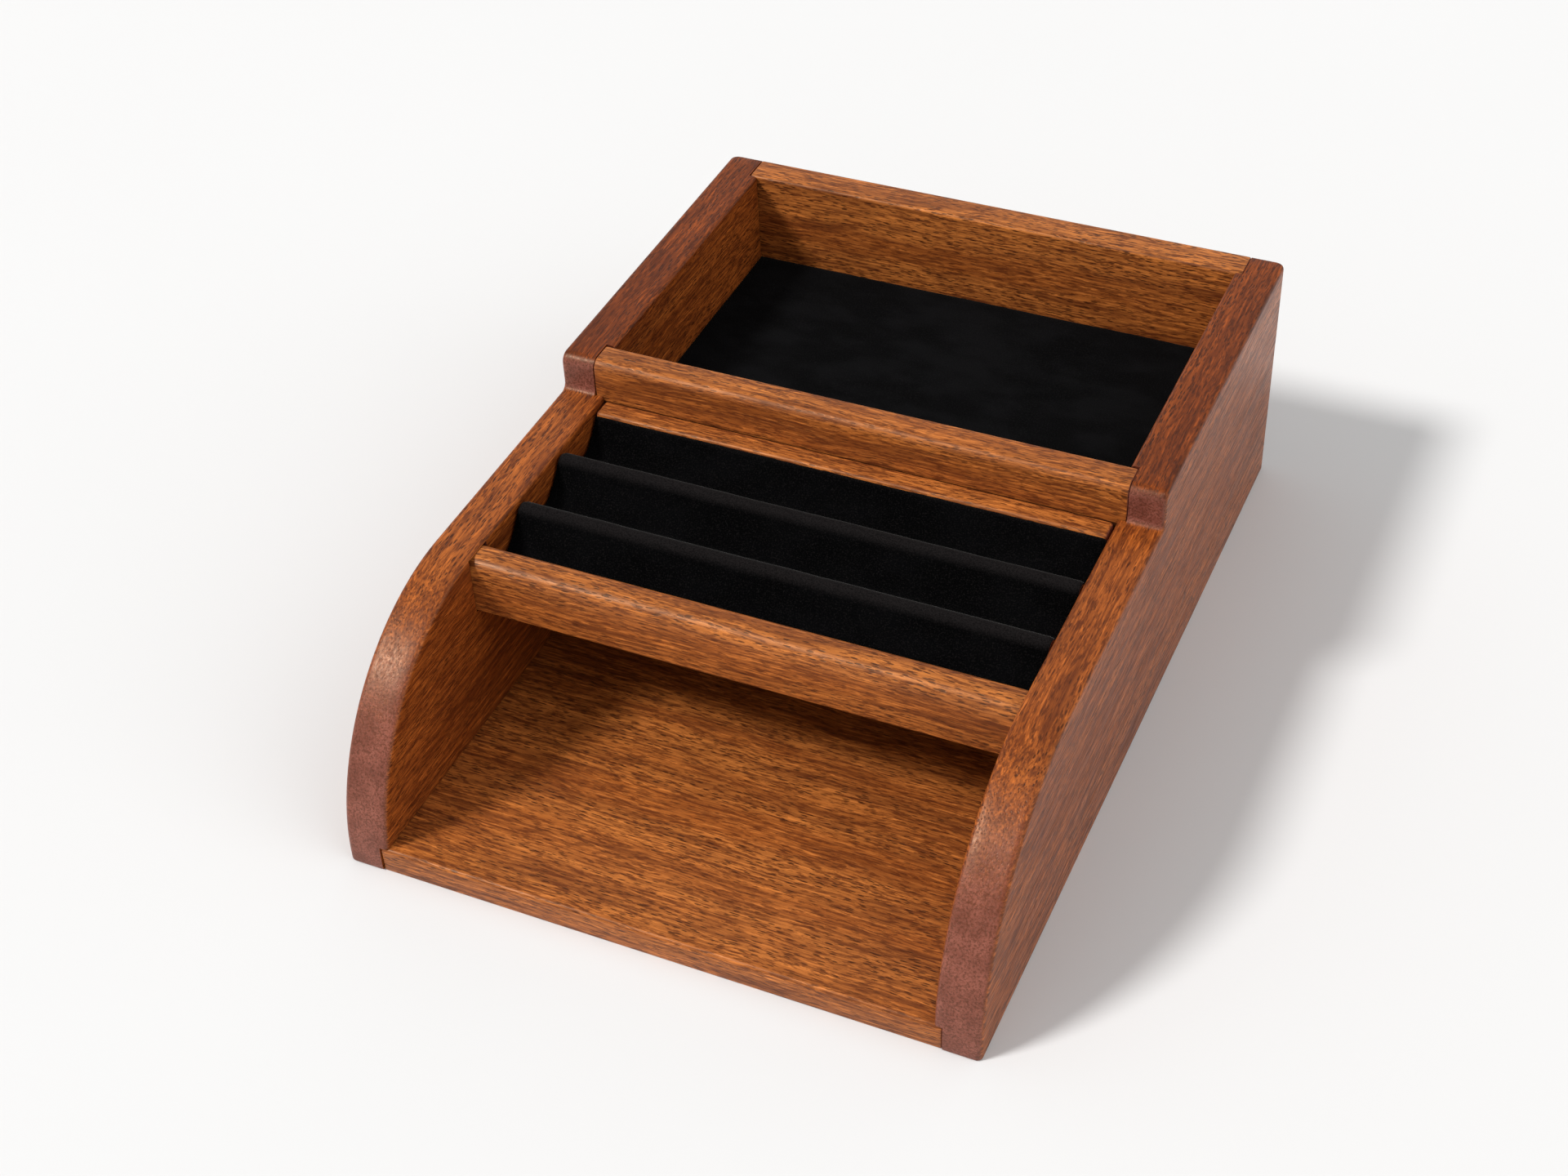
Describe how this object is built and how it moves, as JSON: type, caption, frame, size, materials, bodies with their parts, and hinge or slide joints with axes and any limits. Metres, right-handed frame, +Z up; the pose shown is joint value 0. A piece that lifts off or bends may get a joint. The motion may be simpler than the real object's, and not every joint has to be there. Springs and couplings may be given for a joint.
{
  "type": "fountain pen case",
  "caption": "Open two-tier wooden desk case with velvet pen troughs, an ink bottle bay behind them and a notebook slot below.",
  "frame": {"origin": "middle of the footprint, on the surface that the case stands on", "axes": "+X to the right as seen from the open notebook slot, +Y towards the ink bay and the back, +Z up"},
  "size_m": [0.19, 0.268, 0.0795],
  "materials": {
    "side_wood": "oiled, satin",
    "cross_wood": "oiled, satin",
    "floor_wood": "oiled, matte",
    "block_wood": "stained dark, matte",
    "felt": "matte felt",
    "velvet": "short pile velvet"
  },
  "bodies": {
    "case": {"left_side": "side_wood", "right_side": "side_wood", "base_panel": "cross_wood", "back_panel": "cross_wood", "divider_wall": "cross_wood", "ink_floor": "floor_wood", "ink_floor_felt": "felt", "front_rail": "cross_wood", "tray_floor": "floor_wood"},
    "pen_rest": {"pen_rest_rear_rail": "cross_wood", "pen_rest_block": "block_wood", "pen_rest_velvet": "velvet"}
  },
  "joints": [
    {"name": "pen_rest_lift", "type": "slide", "parent": "case", "child": "pen_rest", "axis": [0, 0, 1], "range_m": [0, 0.03]}
  ]
}
